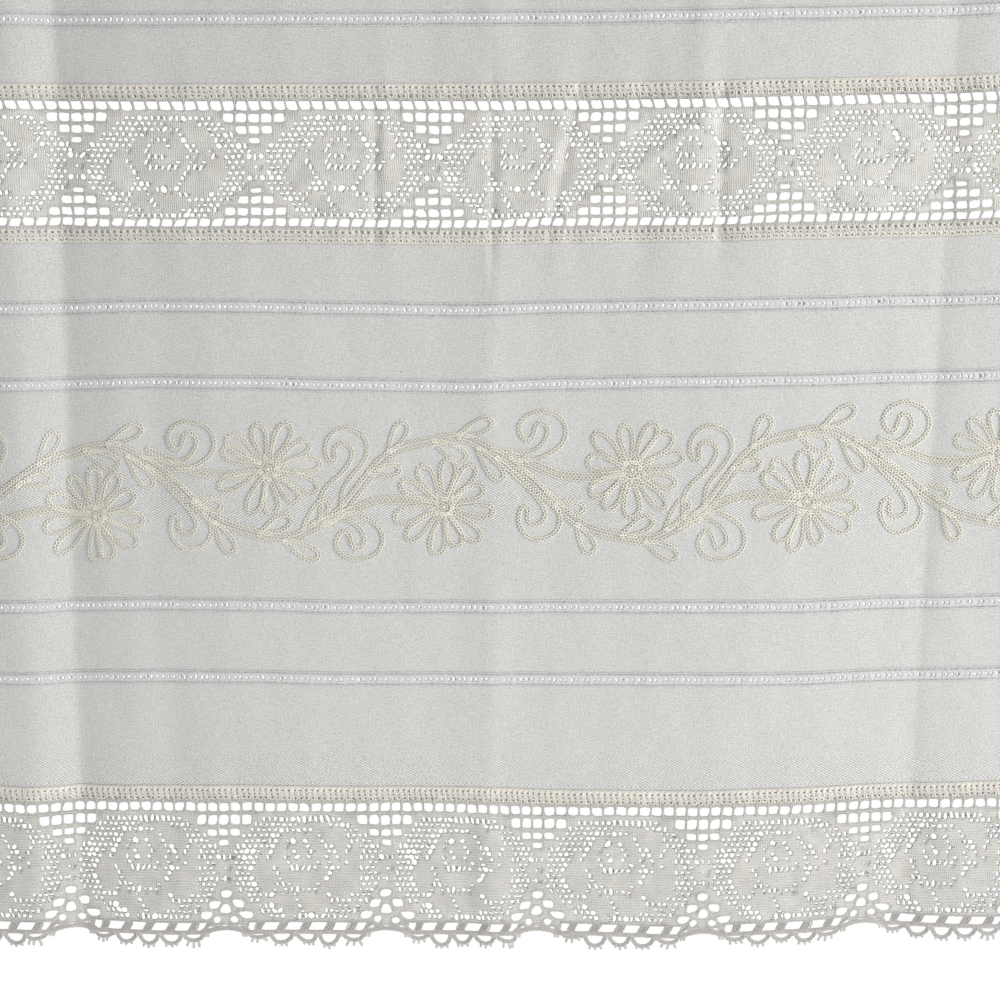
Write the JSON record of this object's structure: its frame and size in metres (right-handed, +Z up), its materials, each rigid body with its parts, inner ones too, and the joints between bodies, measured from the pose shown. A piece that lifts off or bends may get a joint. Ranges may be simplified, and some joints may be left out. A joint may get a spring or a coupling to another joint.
{
  "type": "cotton curtain",
  "caption": "Cotton curtain of plain cloth strips joined by ladder tapes, with a lace insertion, an embroidered band and a scalloped lace edging.",
  "frame": {"origin": "middle of the curtain's top edge, at the front of the cloth, which is z = 0", "axes": "+X to the right as seen from the room, +Y away from the room through the cloth, +Z up along the cloth"},
  "size_m": [0.6, 0.0112, 0.7035],
  "materials": {
    "cloth": "matte",
    "tape": "matte",
    "lace": "matte",
    "embroidery": "matte"
  },
  "bodies": {
    "root": {"cloth_top": "cloth", "cloth_above_insertion": "cloth", "cloth_below_insertion": "cloth", "cloth_between_tapes": "cloth", "cloth_embroidered": "cloth", "cloth_below_embroidery": "cloth", "cloth_above_edging": "cloth", "ladder_tape_1": "tape", "ladder_tape_2": "tape", "ladder_tape_3": "tape", "ladder_tape_4": "tape", "ladder_tape_5": "tape", "lace_insertion": "lace", "lace_edging": "lace"}
  },
  "joints": []
}
